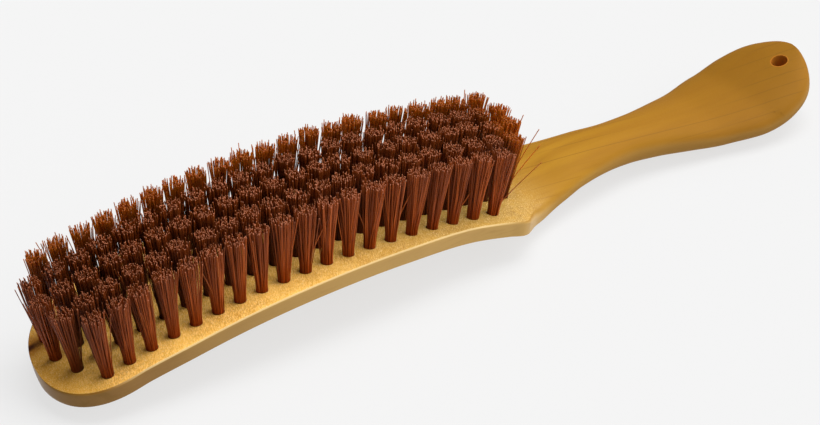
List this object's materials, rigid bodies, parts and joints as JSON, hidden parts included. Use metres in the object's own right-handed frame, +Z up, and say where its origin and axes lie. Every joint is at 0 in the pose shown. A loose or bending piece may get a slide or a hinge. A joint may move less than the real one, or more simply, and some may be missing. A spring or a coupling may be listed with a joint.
{
  "type": "clothes brush",
  "caption": "Curved clothes brush: a one-piece wooden head and paddle handle with a hanging hole, set with staggered rows of stiff brown bristle tufts.",
  "frame": {"origin": "on the surface it lies on, under the middle of its bounding box, lying on its back with the bristles up", "axes": "+X along the brush from the head's round end to the handle, +Y across the head, +Z up out of the bristles"},
  "size_m": [0.3191, 0.057, 0.046],
  "materials": {
    "wood": "pale golden hardwood under clear lacquer, satin to gloss, fine speckled grain",
    "bristle": "translucent red-brown filament, semi-gloss along each hair, darker inside the tuft",
    "anchor": "flat galvanised wire"
  },
  "bodies": {
    "root": {"stock": "wood", "row_1_tufts_01": "bristle", "row_1_tufts_02": "bristle", "row_1_tufts_03": "bristle", "row_1_tufts_04": "bristle", "row_1_tufts_05": "bristle", "row_1_tufts_06": "bristle", "row_1_tufts_07": "bristle", "row_1_tufts_08": "bristle", "row_1_tufts_09": "bristle", "row_1_tufts_10": "bristle", "row_2_tufts_01": "bristle", "row_2_tufts_02": "bristle", "row_2_tufts_03": "bristle", "row_2_tufts_04": "bristle", "row_2_tufts_05": "bristle", "row_2_tufts_06": "bristle", "row_2_tufts_07": "bristle", "row_2_tufts_08": "bristle", "row_2_tufts_09": "bristle", "row_2_tufts_10": "bristle", "row_2_tufts_11": "bristle", "row_3_tufts_01": "bristle", "row_3_tufts_02": "bristle", "row_3_tufts_03": "bristle", "row_3_tufts_04": "bristle", "row_3_tufts_05": "bristle", "row_3_tufts_06": "bristle", "row_3_tufts_07": "bristle", "row_3_tufts_08": "bristle", "row_3_tufts_09": "bristle", "row_3_tufts_10": "bristle", "row_3_tufts_11": "bristle", "row_4_tufts_01": "bristle", "row_4_tufts_02": "bristle", "row_4_tufts_03": "bristle", "row_4_tufts_04": "bristle", "row_4_tufts_05": "bristle", "row_4_tufts_06": "bristle", "row_4_tufts_07": "bristle", "row_4_tufts_08": "bristle", "row_4_tufts_09": "bristle", "row_4_tufts_10": "bristle", "row_4_tufts_11": "bristle", "row_5_tufts_01": "bristle", "row_5_tufts_02": "bristle", "row_5_tufts_03": "bristle", "row_5_tufts_04": "bristle", "row_5_tufts_05": "bristle", "row_5_tufts_06": "bristle", "row_5_tufts_07": "bristle", "row_5_tufts_08": "bristle", "row_5_tufts_09": "bristle", "row_5_tufts_10": "bristle", "row_5_tufts_11": "bristle"}
  },
  "joints": []
}
